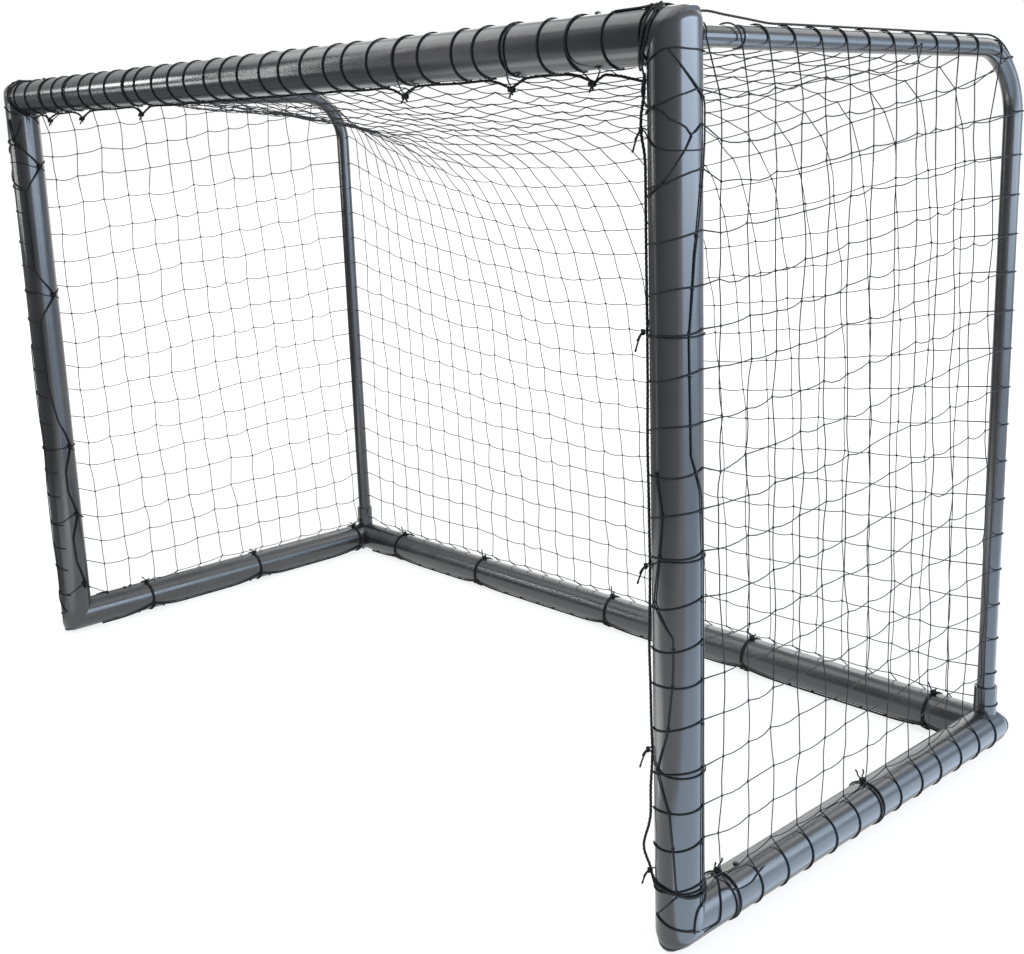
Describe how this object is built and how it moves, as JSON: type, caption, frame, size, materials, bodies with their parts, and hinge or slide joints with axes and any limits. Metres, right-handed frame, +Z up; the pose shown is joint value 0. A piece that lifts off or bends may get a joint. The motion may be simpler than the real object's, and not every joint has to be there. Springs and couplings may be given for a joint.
{
  "type": "soccer goal",
  "caption": "Free-standing small soccer goal of thick round tube with mitred corners, bent rear stays and a tied-on net.",
  "frame": {"origin": "middle of the footprint, on the ground", "axes": "+Z up, +X to the right-hand post seen from in front, +Y from the mouth to the back of the net"},
  "size_m": [1.6878, 0.817, 1.1039],
  "materials": {
    "paint": "satin anthracite powder coat",
    "plastic": "moulded, matt black",
    "steel": "blackened spring steel",
    "net": "knotted black cord",
    "tie": "braided black cord"
  },
  "bodies": {
    "frame": {"post_left": "paint", "ground_bar_left": "paint", "post_right": "paint", "ground_bar_right": "paint", "crossbar": "paint", "ground_bar_rear": "paint", "stay_left": "paint", "stay_stub_left": "paint", "stay_socket_left": "paint", "elbow_top_left": "plastic", "elbow_front_left": "plastic", "elbow_rear_left": "plastic", "stay_right": "paint", "stay_stub_right": "paint", "stay_socket_right": "paint", "elbow_top_right": "plastic", "elbow_front_right": "plastic", "elbow_rear_right": "plastic", "net_side_left": "net", "net_side_right": "net", "net_roof": "net", "net_back": "net", "tie_crossbar_1": "tie", "tie_crossbar_2": "tie", "tie_crossbar_3": "tie", "tie_crossbar_4": "tie", "tie_crossbar_5": "tie", "tie_crossbar_6": "tie", "tie_rear_1": "tie", "tie_rear_2": "tie", "tie_rear_3": "tie", "tie_rear_4": "tie", "tie_rear_5": "tie", "tie_ground_left_1": "tie", "tie_ground_left_2": "tie", "tie_ground_left_3": "tie", "tie_post_left_1": "tie", "tie_post_left_2": "tie", "tie_post_left_3": "tie", "tie_post_left_4": "tie", "tie_post_left_5": "tie", "tie_ground_right_1": "tie", "tie_ground_right_2": "tie", "tie_post_right_1": "tie", "tie_post_right_2": "tie", "tie_post_right_3": "tie", "tie_post_right_4": "tie", "tie_post_right_5": "tie"},
    "button_ground_left": {"button_ground_left": "steel"},
    "button_crossbar_left": {"button_crossbar_left": "steel"},
    "button_rear_left": {"button_rear_left": "steel"},
    "button_stay_left": {"button_stay_left": "steel"},
    "button_ground_right": {"button_ground_right": "steel"},
    "button_crossbar_right": {"button_crossbar_right": "steel"},
    "button_rear_right": {"button_rear_right": "steel"},
    "button_stay_right": {"button_stay_right": "steel"}
  },
  "joints": [
    {"name": "button_ground_left_press", "type": "slide", "parent": "frame", "child": "button_ground_left", "axis": [0, 0, -1], "range_m": [0, 0.0053], "stiffness_N_per_m": 1500, "springref_m": -0.001},
    {"name": "button_crossbar_left_press", "type": "slide", "parent": "frame", "child": "button_crossbar_left", "axis": [0, 0, -1], "range_m": [0, 0.0053], "stiffness_N_per_m": 1500, "springref_m": -0.001},
    {"name": "button_rear_left_press", "type": "slide", "parent": "frame", "child": "button_rear_left", "axis": [0, -1, 0], "range_m": [0, 0.0053], "stiffness_N_per_m": 1500, "springref_m": -0.001},
    {"name": "button_stay_left_press", "type": "slide", "parent": "frame", "child": "button_stay_left", "axis": [-1, 0, 0], "range_m": [0, 0.0038], "stiffness_N_per_m": 1500, "springref_m": -0.001},
    {"name": "button_ground_right_press", "type": "slide", "parent": "frame", "child": "button_ground_right", "axis": [0, 0, -1], "range_m": [0, 0.0053], "stiffness_N_per_m": 1500, "springref_m": -0.001},
    {"name": "button_crossbar_right_press", "type": "slide", "parent": "frame", "child": "button_crossbar_right", "axis": [0, 0, -1], "range_m": [0, 0.0053], "stiffness_N_per_m": 1500, "springref_m": -0.001},
    {"name": "button_rear_right_press", "type": "slide", "parent": "frame", "child": "button_rear_right", "axis": [0, -1, 0], "range_m": [0, 0.0053], "stiffness_N_per_m": 1500, "springref_m": -0.001},
    {"name": "button_stay_right_press", "type": "slide", "parent": "frame", "child": "button_stay_right", "axis": [1, 0, 0], "range_m": [0, 0.0038], "stiffness_N_per_m": 1500, "springref_m": -0.001}
  ]
}
